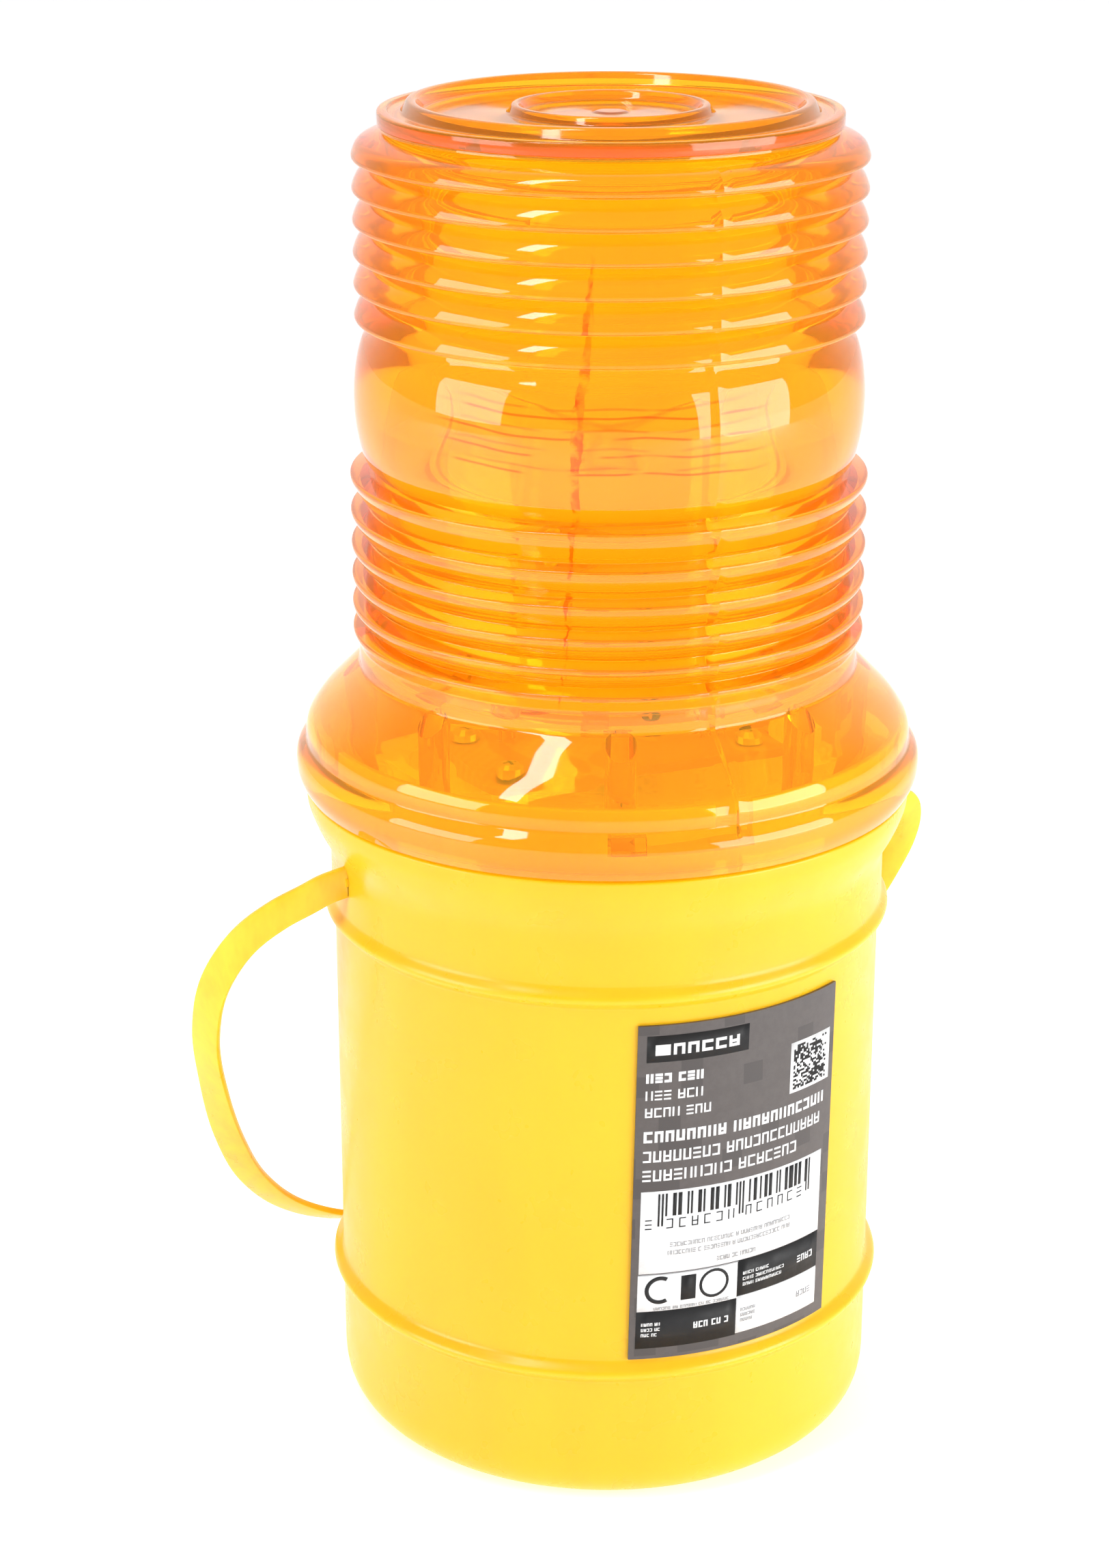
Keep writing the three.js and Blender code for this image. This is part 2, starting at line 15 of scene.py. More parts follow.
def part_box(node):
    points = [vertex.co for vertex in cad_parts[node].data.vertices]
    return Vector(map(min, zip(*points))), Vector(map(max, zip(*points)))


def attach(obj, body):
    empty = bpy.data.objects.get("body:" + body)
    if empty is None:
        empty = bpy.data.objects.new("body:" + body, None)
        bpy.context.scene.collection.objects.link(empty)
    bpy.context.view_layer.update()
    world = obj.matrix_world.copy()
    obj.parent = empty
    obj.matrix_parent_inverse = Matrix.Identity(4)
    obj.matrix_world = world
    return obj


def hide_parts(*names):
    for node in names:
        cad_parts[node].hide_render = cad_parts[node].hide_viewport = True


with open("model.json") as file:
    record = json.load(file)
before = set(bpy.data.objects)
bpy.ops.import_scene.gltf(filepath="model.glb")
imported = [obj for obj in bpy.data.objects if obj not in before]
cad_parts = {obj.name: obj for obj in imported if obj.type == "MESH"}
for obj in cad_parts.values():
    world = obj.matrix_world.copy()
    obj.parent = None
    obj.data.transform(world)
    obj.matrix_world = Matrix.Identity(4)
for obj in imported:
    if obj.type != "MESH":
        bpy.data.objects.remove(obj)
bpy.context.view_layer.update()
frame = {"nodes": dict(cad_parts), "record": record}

MM = 0.001


def node_top(node):
    """Height of a CAD node's top, in millimetres."""
    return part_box(node)[1].z / MM


def node_bottom(node):
    """Height of a CAD node's underside, in millimetres."""
    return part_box(node)[0].z / MM


def node_radius(node):
    """Largest X of a CAD node, in millimetres."""
    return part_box(node)[1].x / MM


# ---------- sizes taken from the frame ----------
GAP = 0.3                     # running and assembly gap, as in the CAD part
FLANGE_R = node_radius("lens")
RIM_R = node_radius("body_shell")
COLLAR_TOP = node_top("body_shell")
CAP_TOP = node_top("lens")
RIM_Z = node_bottom("lens_seal") - GAP
LENS_FOOT = RIM_Z + 0.5
PLATE_Z = node_bottom("circuit_carrier")
PLATE_H = 2.5
PLATE_TOP = PLATE_Z + PLATE_H
LEDGE_Z = PLATE_Z - GAP

# ---------- other driving sizes, as in the CAD part ----------
WALL = 1.7
BODY_R = 47.5
NECK_R = 48.0
BODY_CORNER = 5.3
BEAD_R = 49.2
BEAD_HALF = 2.3
LOWER_BEAD_Z = 26.4
UPPER_BEAD_Z = 95.3
COLLAR_R = 49.5
COLLAR_BORE = 48.2
FLOOR = 2.0
SKIRT_R = 51.65
SKIRT_BORE = 50.2
DRUM_R = 39.6
DRUM_BORE = 38.0
RING_R = 42.1
UPPER_CREST = 197.6           # height of the lowest upper ring's crest
UPPER_PITCH = 5.2
LOWER_RING_R = 43.3
LOWER_CREST = 171.5           # height of the highest lower ring's crest
LOWER_PITCH = 6.3
LOWER_CLOSING = 0.2           # how the lower rings draw together downward
BULGE_R = 42.4
BULGE_Z = 184.2
BULGE_HALF = 11.6
CAP_R = 37.8
CAP_FACE = CAP_TOP - 2.3
CAP_RIM_TOP = CAP_TOP - 1.5
CAP_UNDER = CAP_TOP - 3.9
CEILING = CAP_TOP - 4.7
RINGS = 6
POSTS = 8
POST_R = 2.5
POST_PITCH_R = 41.5
POST_OFFSET = 1.5             # degrees from the even pitch
LOCKS = 4
LOCK_TURN = 20
LUG_HALF = 3.2
LUG_Z = 121.3
LUG_H = 2.6
LUG_ROOT_R = 50.7             # where a lug ends inside the skirt's wall
STRAP_W = 5.5
STRAP_T = 1.3
STRAP_Z = 104.2
STRAP_LEAN = 30
STRAP_START = 48.1            # nearer the wall than in the CAD part, so that no gap shows
PIN_R = 1.0
PIN_GAP = 0.04                # the strap's pins fit their holes closely
BUTTON_R = 4.2
STRAP_LEFT = [
    (STRAP_START, 0), (51.6, 1.2), (54.6, 3.2), (59.4, 6.3), (64.6, 12), (68.4, 23), (68.3, 37.6),
    (64.9, 54), (59.9, 71), (53.2, 86.5), (44, 98.5), (32, 106.3), (16, 109.2),
]
STRAP_BOTTOM = (0, 109.2)
STRAP_RIGHT = [
    (STRAP_START, 0), (52.5, 0.2), (57.2, 0.8), (60, 2.6), (61.6, 6.5), (62.2, 12.5), (61.6, 20),
    (60.2, 30), (57.5, 45), (54.5, 62), (50.5, 77), (44, 91), (34, 101.5), (18, 108),
]
STRAP_TWIST = [60, 42, 40, 62, 64, 52, 50, 56, 75, 95, 110, 60]
LABEL_SPAN = (-18.3, 28.8)
LABEL_Z = (29.0, 90.4)
LABEL_LEAN = 0.02             # the label leans to the right, in mm per mm of height
LABEL_R = 48.0                # face of the label sheet

# ---------- the photograph's view ----------
CAMERA_AZIMUTH = -24.0
CAMERA_DISTANCE = 519.8
CAMERA_HEIGHT = 304.6
CAMERA_PITCH = 20.05
CAMERA_YAW = -1.0
CAMERA_LENS = 73.18

# ---------- light ----------
ROOM_LEVEL = 0.30             # brightness of the room in front
BACKDROP_LEVEL = 1.04         # brightness of the backdrop
BACKDROP_EDGE = (0.36, 0.90)  # where the one turns into the other, along the view
BACKDROP_RISE = 0.22          # how much of the backdrop reaches overhead
FLOOR_HALF = 4.0              # metres
# Name, azimuth from the camera, distance and height in metres, size in metres, watts.
WINDOWS = [
    ("window_left", -64, 1.2, 0.42, (0.76, 0.62), 7.8),
    ("window_right", 62, 1.2, 0.34, (1.05, 0.70), 14.5),
    ("window_front", -42, 0.53, 0.98, (0.12, 0.62), 3.0),
]


def point(azimuth, radius, z):
    """A point in metres from an azimuth in degrees and millimetres."""
    a = math.radians(azimuth)
    return Vector((radius * math.sin(a), -radius * math.cos(a), z)) * MM


# ---------- mesh helpers ----------
def new_object(name, verts, faces, material, sharp=35.0):
    """A mesh object from metres, smooth but for edges sharper than the angle."""
    mesh = bpy.data.meshes.new(name)
    mesh.from_pydata([tuple(v) for v in verts], [], faces)
    mesh.validate()
    obj = bpy.data.objects.new(name, mesh)
    bpy.context.scene.collection.objects.link(obj)
    obj.data.materials.append(material)
    smooth(obj, sharp)
    return obj


def smooth(obj, sharp=35.0):
    """Smooth shading with hard edges over the angle."""
    obj.data.shade_smooth()
    obj.data.set_sharp_from_angle(angle=math.radians(sharp))


def rounded(points, steps=5):
    """An outline of (r, z) or (r, z, fillet) points, with the filleted corners as arcs."""
    outline = []
    count = len(points)
    for i, p in enumerate(points):
        here = Vector(p[:2])
        fillet = p[2] if len(p) > 2 else 0
        if not fillet or i in (0, count - 1):
            outline.append(here)
            continue
        before = Vector(points[i - 1][:2]) - here
        after = Vector(points[i + 1][:2]) - here
        reach = min(fillet, 0.49 * before.length, 0.49 * after.length)
        start = here + before.normalized() * reach
        end = here + after.normalized() * reach
        for k in range(steps + 1):
            t = k / steps
            outline.append(start.lerp(here, t).lerp(here.lerp(end, t), t))
    return outline


def lathe(name, outline, material, segments=160, swell=None, extra=(), sharp=35.0):
    """Turns an (r, z) outline in millimetres about Z. swell(azimuth, r, z) adds to r."""
    angles = sorted({i * 360 / segments for i in range(segments)} | {a % 360 for a in extra})
    verts, rings, faces = [], [], []
    for r, z in outline:
        if r < 1e-6:
            rings.append([len(verts)])
            verts.append(Vector((0, 0, z)) * MM)
            continue
        rings.append(list(range(len(verts), len(verts) + len(angles))))
        for a in angles:
            verts.append(point(a, r + (swell(a, r, z) if swell else 0), z))
    count = len(angles)
    for low, high in zip(rings, rings[1:]):
        for i in range(count):
            j = (i + 1) % count
            if len(low) == 1 and len(high) == 1:
                break
            if len(low) == 1:
                faces.append((low[0], high[j], high[i]))
            elif len(high) == 1:
                faces.append((low[i], low[j], high[0]))
            else:
                faces.append((low[i], low[j], high[j], high[i]))
    obj = new_object(name, verts, faces, material, sharp)
    face_outward(obj)
    return obj


def face_outward(obj):
    """Turns the faces of a closed mesh so that its volume is positive."""
    mesh = obj.data
    volume = 0.0
    for p in mesh.polygons:
        v = [mesh.vertices[i].co for i in p.vertices]
        for k in range(1, len(v) - 1):
            volume += v[0].dot(v[k].cross(v[k + 1]))
    if volume < 0:
        mesh.flip_normals()


def sector(name, r0, r1, start, end, low, high, material, steps=6):
    """A closed piece of a ring between two azimuths."""
    verts, faces = [], []
    for i in range(steps + 1):
        a = start + (end - start) * i / steps
        verts += [point(a, r0, low), point(a, r1, low), point(a, r1, high), point(a, r0, high)]
    for i in range(steps):
        b = 4 * i
        for k in range(4):
            m = (k + 1) % 4
            faces.append((b + k, b + m, b + 4 + m, b + 4 + k))
    last = 4 * steps
    faces += [(0, 3, 2, 1), (last, last + 1, last + 2, last + 3)]
    obj = new_object(name, verts, faces, material)
    face_outward(obj)
    return obj


def boolean(base, others, operation, sharp=35.0):
    """Joins others to base or cuts them from it, and removes them."""
    for other in others:
        modifier = base.modifiers.new(operation.lower(), "BOOLEAN")
        modifier.operation = operation
        modifier.solver = "MANIFOLD"
        modifier.object = other
    bpy.context.view_layer.update()
    graph = bpy.context.evaluated_depsgraph_get()
    mesh = bpy.data.meshes.new_from_object(base.evaluated_get(graph))
    base.modifiers.clear()
    base.data = mesh
    for other in others:
        bpy.data.objects.remove(other)
    smooth(base, sharp)
    return base


# ---------- material helpers ----------
class Shader:
    """A node material with short calls for the nodes that it uses."""

    def __init__(self, name):
        self.material = bpy.data.materials.new(name)
        self.material.use_nodes = True
        self.nodes = self.material.node_tree.nodes
        self.links = self.material.node_tree.links
        self.bsdf = self.nodes["Principled BSDF"]
        self.output = self.nodes["Material Output"]
        self.place = self.nodes.new("ShaderNodeTexCoord").outputs["Object"]

    def link(self, value, socket):
        """Sets a socket to a number, or joins an output to it."""
        if isinstance(value, bpy.types.NodeSocket):
            self.links.new(value, socket)
        else:
            socket.default_value = value

    def set(self, **values):
        """Constants on the shader's own sockets, by name with _ for a space."""
        for name, value in values.items():
            self.bsdf.inputs[name.replace("_", " ")].default_value = value

    def math(self, operation, a, b=0.0):
        node = self.nodes.new("ShaderNodeMath")
        node.operation = operation
        self.link(a, node.inputs[0])
        self.link(b, node.inputs[1])
        return node.outputs[0]

    def noise(self, scale, detail=2.0, roughness=0.5, stretch=(1, 1, 1)):
        mapping = self.nodes.new("ShaderNodeMapping")
        mapping.inputs["Scale"].default_value = stretch
        self.links.new(self.place, mapping.inputs["Vector"])
        node = self.nodes.new("ShaderNodeTexNoise")
        node.inputs["Scale"].default_value = scale
        node.inputs["Detail"].default_value = detail
        node.inputs["Roughness"].default_value = roughness
        self.links.new(mapping.outputs[0], node.inputs["Vector"])
        return node.outputs["Fac"]

    def ramp(self, value, low, high, to_low=0.0, to_high=1.0):
        node = self.nodes.new("ShaderNodeMapRange")
        node.interpolation_type = "SMOOTHSTEP"
        self.link(value, node.inputs["Value"])
        node.inputs["From Min"].default_value = low
        node.inputs["From Max"].default_value = high
        node.inputs["To Min"].default_value = to_low
        node.inputs["To Max"].default_value = to_high
        return node.outputs["Result"]

    def mix(self, factor, a, b):
        node = self.nodes.new("ShaderNodeMix")
        node.data_type = "RGBA"
        self.link(factor, node.inputs[0])
        self.link(a if isinstance(a, bpy.types.NodeSocket) else (*a, 1), node.inputs[6])
        self.link(b if isinstance(b, bpy.types.NodeSocket) else (*b, 1), node.inputs[7])
        return node.outputs[2]

    def axis(self, name):
        """One coordinate of the piece, in metres."""
        if not hasattr(self, "_split"):
            self._split = self.nodes.new("ShaderNodeSeparateXYZ")
            self.links.new(self.place, self._split.inputs[0])
        return self._split.outputs[name]

    def azimuth(self):
        """Degrees from -Y towards +X about the lantern's axis."""
        turn = self.math("ARCTAN2", self.axis("X"), self.math("MULTIPLY", self.axis("Y"), -1.0))
        return self.math("MULTIPLY", turn, 180 / math.pi)

    def color(self, value):
        self.links.new(value, self.bsdf.inputs["Base Color"])

    def gloss(self, value):
        self.link(value, self.bsdf.inputs["Roughness"])

    def bump(self, height, strength, distance):
        node = self.nodes.new("ShaderNodeBump")
        node.inputs["Strength"].default_value = strength
        node.inputs["Distance"].default_value = distance
        self.link(height, node.inputs["Height"])
        self.links.new(node.outputs["Normal"], self.bsdf.inputs["Normal"])

    def lamps_pass(self, tint):
        """Lets tinted lamp light through clear plastic to what is behind it."""
        path = self.nodes.new("ShaderNodeLightPath")
        clear = self.nodes.new("ShaderNodeBsdfTransparent")
        clear.inputs["Color"].default_value = (*tint, 1)
        mix = self.nodes.new("ShaderNodeMixShader")
        self.links.new(path.outputs["Is Shadow Ray"], mix.inputs[0])
        self.links.new(self.bsdf.outputs[0], mix.inputs[1])
        self.links.new(clear.outputs[0], mix.inputs[2])
        self.links.new(mix.outputs[0], self.output.inputs["Surface"])


def shade(color, factor):
    return tuple(min(1.0, c * factor) for c in color)


def moulded(name, color, roughness, grain=0.25, **constants):
    """Moulded plastic: slight cloudiness, uneven gloss and a fine skin."""
    s = Shader(name)
    s.set(**constants)
    cloud = s.noise(38, 4, 0.55)
    s.color(s.mix(s.ramp(cloud, 0.3, 0.7), shade(color, 0.94), shade(color, 1.06)))
    s.gloss(s.ramp(s.noise(160, 3, 0.6), 0.3, 0.7, roughness * 0.8, roughness * 1.25))
    s.bump(s.noise(900, 2, 0.5), grain, 0.00003)
    return s.material


def metal(name, color, roughness):
    """Plated or stamped metal with a drawn grain."""
    s = Shader(name)
    s.set(Metallic=1.0)
    grain = s.noise(700, 3, 0.6, (1, 1, 12))
    s.color(s.mix(grain, shade(color, 0.8), shade(color, 1.1)))
    s.gloss(s.ramp(grain, 0.2, 0.8, roughness * 0.7, roughness * 1.4))
    s.bump(grain, 0.15, 0.00002)
    return s.material


# ---------- materials ----------
YELLOW = (0.98, 0.495, 0.009)
AMBER = (1.0, 0.74, 0.03)


def body_yellow():
    """Glossy yellow polypropylene that lets a little light in."""
    s = Shader("body_yellow")
    s.set(Subsurface_Weight=0.35, Subsurface_Radius=(0.006, 0.003, 0.0006), Subsurface_Scale=1.0)
    s.set(Coat_Weight=0.06, Coat_Roughness=0.10, Specular_IOR_Level=0.40)
    cloud = s.noise(26, 4, 0.5)
    flow = s.noise(90, 3, 0.5, (1, 1, 0.12))
    tone = s.math("ADD", s.math("MULTIPLY", cloud, 0.6), s.math("MULTIPLY", flow, 0.4))
    s.color(s.mix(s.ramp(tone, 0.35, 0.65), shade(YELLOW, 0.97), shade(YELLOW, 1.03)))
    scuffs = s.ramp(s.noise(420, 5, 0.7), 0.62, 0.72)
    base = s.ramp(s.noise(120, 3, 0.6), 0.3, 0.7, 0.26, 0.36)
    s.gloss(s.math("ADD", base, s.math("MULTIPLY", scuffs, 0.06)))
    s.bump(s.math("ADD", s.noise(45, 2, 0.5), s.math("MULTIPLY", scuffs, 0.02)), 0.06, 0.00025)
    return s.material


def knit_line(s):
    """A wandering, patchy upright line where the melt closed round the core."""
    lean_per_metre = 82.0
    middle_azimuth, middle_z = -30.0, 190 * MM
    lean = s.math("MULTIPLY", s.math("SUBTRACT", s.axis("Z"), middle_z), lean_per_metre)
    wander = s.math("MULTIPLY", s.math("SUBTRACT", s.noise(70, 4, 0.7), 0.5), 6.0)
    place = s.math("SUBTRACT", s.math("ADD", s.azimuth(), -middle_azimuth), lean)
    offset = s.math("ABSOLUTE", s.math("ADD", place, wander))
    from_belt = s.math("ABSOLUTE", s.math("SUBTRACT", s.axis("Z"), 184 * MM))
    belt = s.ramp(from_belt, 0.032, 0.014, 0.35, 1.0)
    width = s.math("MULTIPLY", belt, s.ramp(s.noise(110, 2, 0.5), 0.35, 0.65, 0.5, 1.25))
    line = s.math("LESS_THAN", offset, width)
    zone = s.math("MULTIPLY", s.ramp(s.axis("Z"), 0.141, 0.145), s.ramp(s.axis("Z"), 0.216, 0.212))
    return s.math("MULTIPLY", s.math("MULTIPLY", line, zone), s.ramp(s.noise(230, 3, 0.6), 0.42, 0.58))


def flow_lines(s):
    """Fine level lines that wander across the front of the bull's-eye belt."""
    wave = s.math("MULTIPLY", s.math("SUBTRACT", s.noise(30, 2, 0.5, (1, 1, 0.3)), 0.5), 0.008)
    height = s.math("ADD", s.axis("Z"), wave)
    lines = 0.0
    for level in (181.3, 184.3, 187.2, 190.5):
        away = s.math("ABSOLUTE", s.math("SUBTRACT", height, level * MM))
        lines = s.math("MAXIMUM", lines, s.ramp(away, 0.00028, 0.00010))
    front = s.ramp(s.math("ABSOLUTE", s.math("ADD", s.azimuth(), 26.0)), 42.0, 30.0)
    return s.math("MULTIPLY", s.math("MULTIPLY", lines, front), s.ramp(s.noise(90, 2, 0.5), 0.36, 0.48))


def gate_mark(s):
    """The rough spot at the middle of the lid where the melt went in."""
    across = s.math("ADD", s.math("POWER", s.axis("X"), 2.0), s.math("POWER", s.axis("Y"), 2.0))
    rough = s.math("MULTIPLY", s.math("SUBTRACT", s.noise(600, 3, 0.6), 0.5), 0.003)
    spot = s.ramp(s.math("ADD", s.math("SQRT", across), rough), 0.0036, 0.0024)
    return s.math("MULTIPLY", s.math("MULTIPLY", spot, s.ramp(s.axis("Z"), 0.2290, 0.2296)), 0.7)


def lens_amber():
    """Clear amber styrene: deeper where the wall is thick, with flow and knit lines."""
    s = Shader("lens_amber")
    s.set(Transmission_Weight=0.88, IOR=1.49)
    flow = s.noise(55, 4, 0.55, (1, 1, 0.25))
    tint = s.mix(s.ramp(flow, 0.35, 0.65), shade(AMBER, 0.97), AMBER)
    knit = knit_line(s)
    flaws = s.math("MAXIMUM", s.math("MAXIMUM", knit, gate_mark(s)), flow_lines(s))
    s.color(s.mix(s.math("MULTIPLY", flaws, 0.85), tint, (0.85, 0.14, 0.004)))
    frosted = s.ramp(s.axis("Z"), 0.2294, 0.2300, 0.0, 0.06)
    s.gloss(s.math("ADD", frosted, s.ramp(s.noise(300, 4, 0.6), 0.3, 0.75, 0.015, 0.05)))
    ripple = s.math("ADD", s.noise(45, 2, 0.5), s.math("MULTIPLY", knit, -0.35))
    s.bump(ripple, 0.12, 0.0006)
    absorb = s.nodes.new("ShaderNodeVolumeAbsorption")
    absorb.inputs["Color"].default_value = (1.0, 0.63, 0.05, 1)
    absorb.inputs["Density"].default_value = 115.0
    s.links.new(absorb.outputs[0], s.output.inputs["Volume"])
    s.lamps_pass((1.0, 0.78, 0.20))
    return s.material


def strap_plastic():
    """Satin yellow strap with faint lengthwise draw lines."""
    s = Shader("strap_plastic")
    s.set(Subsurface_Weight=0.3, Subsurface_Radius=(0.004, 0.002, 0.0004), Subsurface_Scale=1.0)
    lines = s.noise(240, 3, 0.6, (1, 1, 0.35))
    s.color(s.mix(s.ramp(lines, 0.3, 0.7), (0.98, 0.52, 0.012), (1.0, 0.62, 0.02)))
    s.gloss(s.ramp(lines, 0.3, 0.7, 0.26, 0.4))
    s.bump(s.noise(500, 3, 0.6), 0.12, 0.00006)
    return s.material


def printed(name, color, roughness=0.38):
    """Ink on a satin label: slight mottling and a paper tooth."""
    s = Shader(name)
    s.set(Specular_IOR_Level=0.3)
    mottle = s.noise(700, 4, 0.65)
    s.color(s.mix(s.ramp(mottle, 0.3, 0.7), shade(color, 0.93), shade(color, 1.06)))
    s.gloss(s.ramp(s.noise(260, 3, 0.6), 0.3, 0.7, roughness * 0.85, roughness * 1.2))
    s.bump(mottle, 0.1, 0.00002)
    return s.material


def label_ground():
    """Grey label ground with a faint pattern of darker squares."""
    s = Shader("label_ground")
    s.set(Coat_Weight=0.15, Coat_Roughness=0.2)
    cell = 3.7 * MM
    across = s.math("MULTIPLY", s.azimuth(), math.radians(1) * BODY_R * MM)
    column = s.math("FLOOR", s.math("DIVIDE", across, cell))
    row = s.math("FLOOR", s.math("DIVIDE", s.axis("Z"), cell))
    joined = s.nodes.new("ShaderNodeCombineXYZ")
    s.links.new(column, joined.inputs[0])
    s.links.new(row, joined.inputs[1])
    chance = s.nodes.new("ShaderNodeTexWhiteNoise")
    s.links.new(joined.outputs[0], chance.inputs["Vector"])
    dark = s.ramp(chance.outputs["Value"], 0.74, 0.80)
    mottle = s.noise(700, 4, 0.65)
    ground = s.mix(s.ramp(mottle, 0.3, 0.7), (0.076, 0.064, 0.061), (0.088, 0.075, 0.071))
    s.color(s.mix(dark, ground, (0.058, 0.049, 0.047)))
    s.gloss(s.ramp(s.noise(260, 3, 0.6), 0.3, 0.7, 0.3, 0.42))
    s.bump(mottle, 0.1, 0.00002)
    return s.material


def foam():
    s = Shader("pad_foam")
    cells = s.nodes.new("ShaderNodeTexVoronoi")
    cells.inputs["Scale"].default_value = 1400
    s.links.new(s.place, cells.inputs["Vector"])
    s.color(s.mix(cells.outputs["Distance"], (0.02, 0.02, 0.022), (0.09, 0.09, 0.095)))
    s.set(Roughness=0.95)
    s.bump(cells.outputs["Distance"], 0.6, 0.0002)
    return s.material


def board_laminate():
    """Tan paper laminate with a faint weave and slightly darker tracks."""
    s = Shader("board_laminate")
    s.set(Coat_Weight=0.2, Coat_Roughness=0.2)
    wave = s.math("MULTIPLY", s.math("SINE", s.math("MULTIPLY", s.axis("X"), 2400.0)),
                  s.math("SINE", s.math("MULTIPLY", s.axis("Y"), 2400.0)))
    tracks = s.ramp(s.noise(150, 1, 0.3, (1, 0.2, 1)), 0.5, 0.52)
    ground = s.mix(s.ramp(wave, -1, 1), (0.68, 0.42, 0.16), (0.74, 0.48, 0.2))
    s.color(s.mix(tracks, ground, (0.60, 0.34, 0.12)))
    s.set(Roughness=0.35)
    s.bump(tracks, 0.3, 0.00005)
    return s.material


def led_epoxy():
    s = Shader("led_epoxy")
    s.set(Transmission_Weight=0.9, IOR=1.54, Roughness=0.05)
    s.color(s.mix(s.noise(400, 3, 0.6), (1.0, 0.62, 0.14), (1.0, 0.74, 0.28)))
    s.bump(s.noise(700, 2, 0.5), 0.1, 0.00003)
    return s.material


def resistor_body():
    """Tan lacquer with colour bands across the length."""
    s = Shader("resistor_body")
    s.set(Coat_Weight=0.5, Coat_Roughness=0.12)
    bands = s.math("SINE", s.math("MULTIPLY", s.axis("X"), 4200.0))
    ground = s.mix(s.noise(900, 3, 0.6), (0.5, 0.36, 0.2), (0.62, 0.46, 0.28))
    s.color(s.mix(s.ramp(bands, 0.55, 0.7), ground, (0.25, 0.06, 0.02)))
    s.set(Roughness=0.35)
    return s.material


def pale_floor():
    s = Shader("pale_floor")
    s.color(s.mix(s.noise(3, 3, 0.5), (0.93, 0.93, 0.93), (0.96, 0.96, 0.96)))
    s.set(Roughness=0.6, Emission_Color=(1, 1, 1, 1), Emission_Strength=0.50)
    return s.material


# Painted glow: the moulding under the lens shines on its own, as painted light that lifts the shade the
# board casts on it; the real moulding doesn't glow.
PAINTED_GLOW = {"Emission_Color": (1.0, 0.52, 0.05, 1), "Emission_Strength": 0.45}

MATERIALS = {
    "body_yellow": body_yellow(),
    "lens_amber": lens_amber(),
    "strap_plastic": strap_plastic(),
    "label_print": label_ground(),
    "pad_foam": foam(),
    "battery_sleeve": moulded("battery_sleeve", (0.02, 0.07, 0.24), 0.3, Coat_Weight=0.3),
    "black_plastic": moulded("black_plastic", (0.02, 0.02, 0.022), 0.4, 0.5),
    "white_plastic": moulded("white_plastic", (0.8, 0.8, 0.77), 0.35),
    "bright_steel": metal("bright_steel", (0.80, 0.78, 0.72), 0.42),
    "contact_brass": metal("contact_brass", (0.8, 0.55, 0.2), 0.3),
    # The carrier's constants add the painted glow on top of its own orange.
    "carrier_plastic": moulded("carrier_plastic", (0.98, 0.50, 0.04), 0.3, **PAINTED_GLOW),
    "board_laminate": board_laminate(),
    "led_epoxy": led_epoxy(),
    "resistor_body": resistor_body(),
    "sensor_body": moulded("sensor_body", (0.05, 0.025, 0.015), 0.4, 0.5),
    "wire_red": moulded("wire_red", (0.45, 0.02, 0.015), 0.35),
    "wire_black": moulded("wire_black", (0.03, 0.03, 0.032), 0.4),
    "seal_rubber": moulded("seal_rubber", (0.95, 0.42, 0.03), 0.6, 0.6),
}
INK_BLACK = printed("ink_black", (0.012, 0.012, 0.013), 0.5)
INK_WHITE = printed("ink_white", (0.82, 0.83, 0.84))
INK_GREY = printed("ink_grey", (0.34, 0.34, 0.35))


# ---------- outlines, in millimetres ----------
def bead_outline(z, below, above, steps=12):
    """A bead on the wall as one smooth bump, from below it to above it."""
    points = []
    for i in range(steps + 1):
        t = 2 * i / steps - 1
        wall = below if t < 0 else above
        rise = (BEAD_R - wall) * (0.5 + 0.5 * math.cos(math.pi * t))
        points.append((wall + rise, z + t * BEAD_HALF))
    return points


def body_outline():
    bore = BODY_R - WALL
    lower = rounded([(0, 0), (BODY_R, 0, BODY_CORNER * 1.6), (BODY_R, LOWER_BEAD_Z - BEAD_HALF)], 10)
    flare = rounded([
        (NECK_R, UPPER_BEAD_Z + BEAD_HALF),
        (NECK_R, 106.2, 2),
        (50.55, 110.8, 3),
        (RIM_R, 114.6, 2),
        (RIM_R, RIM_Z, 0.4),
        (COLLAR_R, RIM_Z),
        (COLLAR_R, COLLAR_TOP, 0.4),
        (COLLAR_BORE, COLLAR_TOP, 0.4),
        (COLLAR_BORE, LEDGE_Z),
        (bore, LEDGE_Z, 0.4),
        (bore, FLOOR, BODY_CORNER),
        (0, FLOOR),
    ])
    return [
        *lower[:-1],
        *bead_outline(LOWER_BEAD_Z, BODY_R, BODY_R),
        *bead_outline(UPPER_BEAD_Z, BODY_R, NECK_R),
        *flare[1:],
    ]


def lower_crest(i):
    """Height of the i-th ring below the bull's-eye belt, from the top."""
    return LOWER_CREST - LOWER_PITCH * i + LOWER_CLOSING * i * i


def upper_crest(i):
    """Height of the i-th ring above the belt, from the bottom."""
    return UPPER_CREST + UPPER_PITCH * i


def lens_bore():
    """The inside of the lens, from the middle of its ceiling to its foot."""
    return rounded([
        (0, CEILING),
        (33.1, CEILING, 2),
        (35.6, CEILING - 2.6, 2),
        (DRUM_BORE, 143.0, 3),
        (38.5, 138.9, 2),
        (43.3, 134.8, 3),
        (48.6, 129.9, 3),
        (SKIRT_BORE, 127.6, 1.5),
        (SKIRT_BORE, 118.9),
        (51.2, 118.9),
    ])


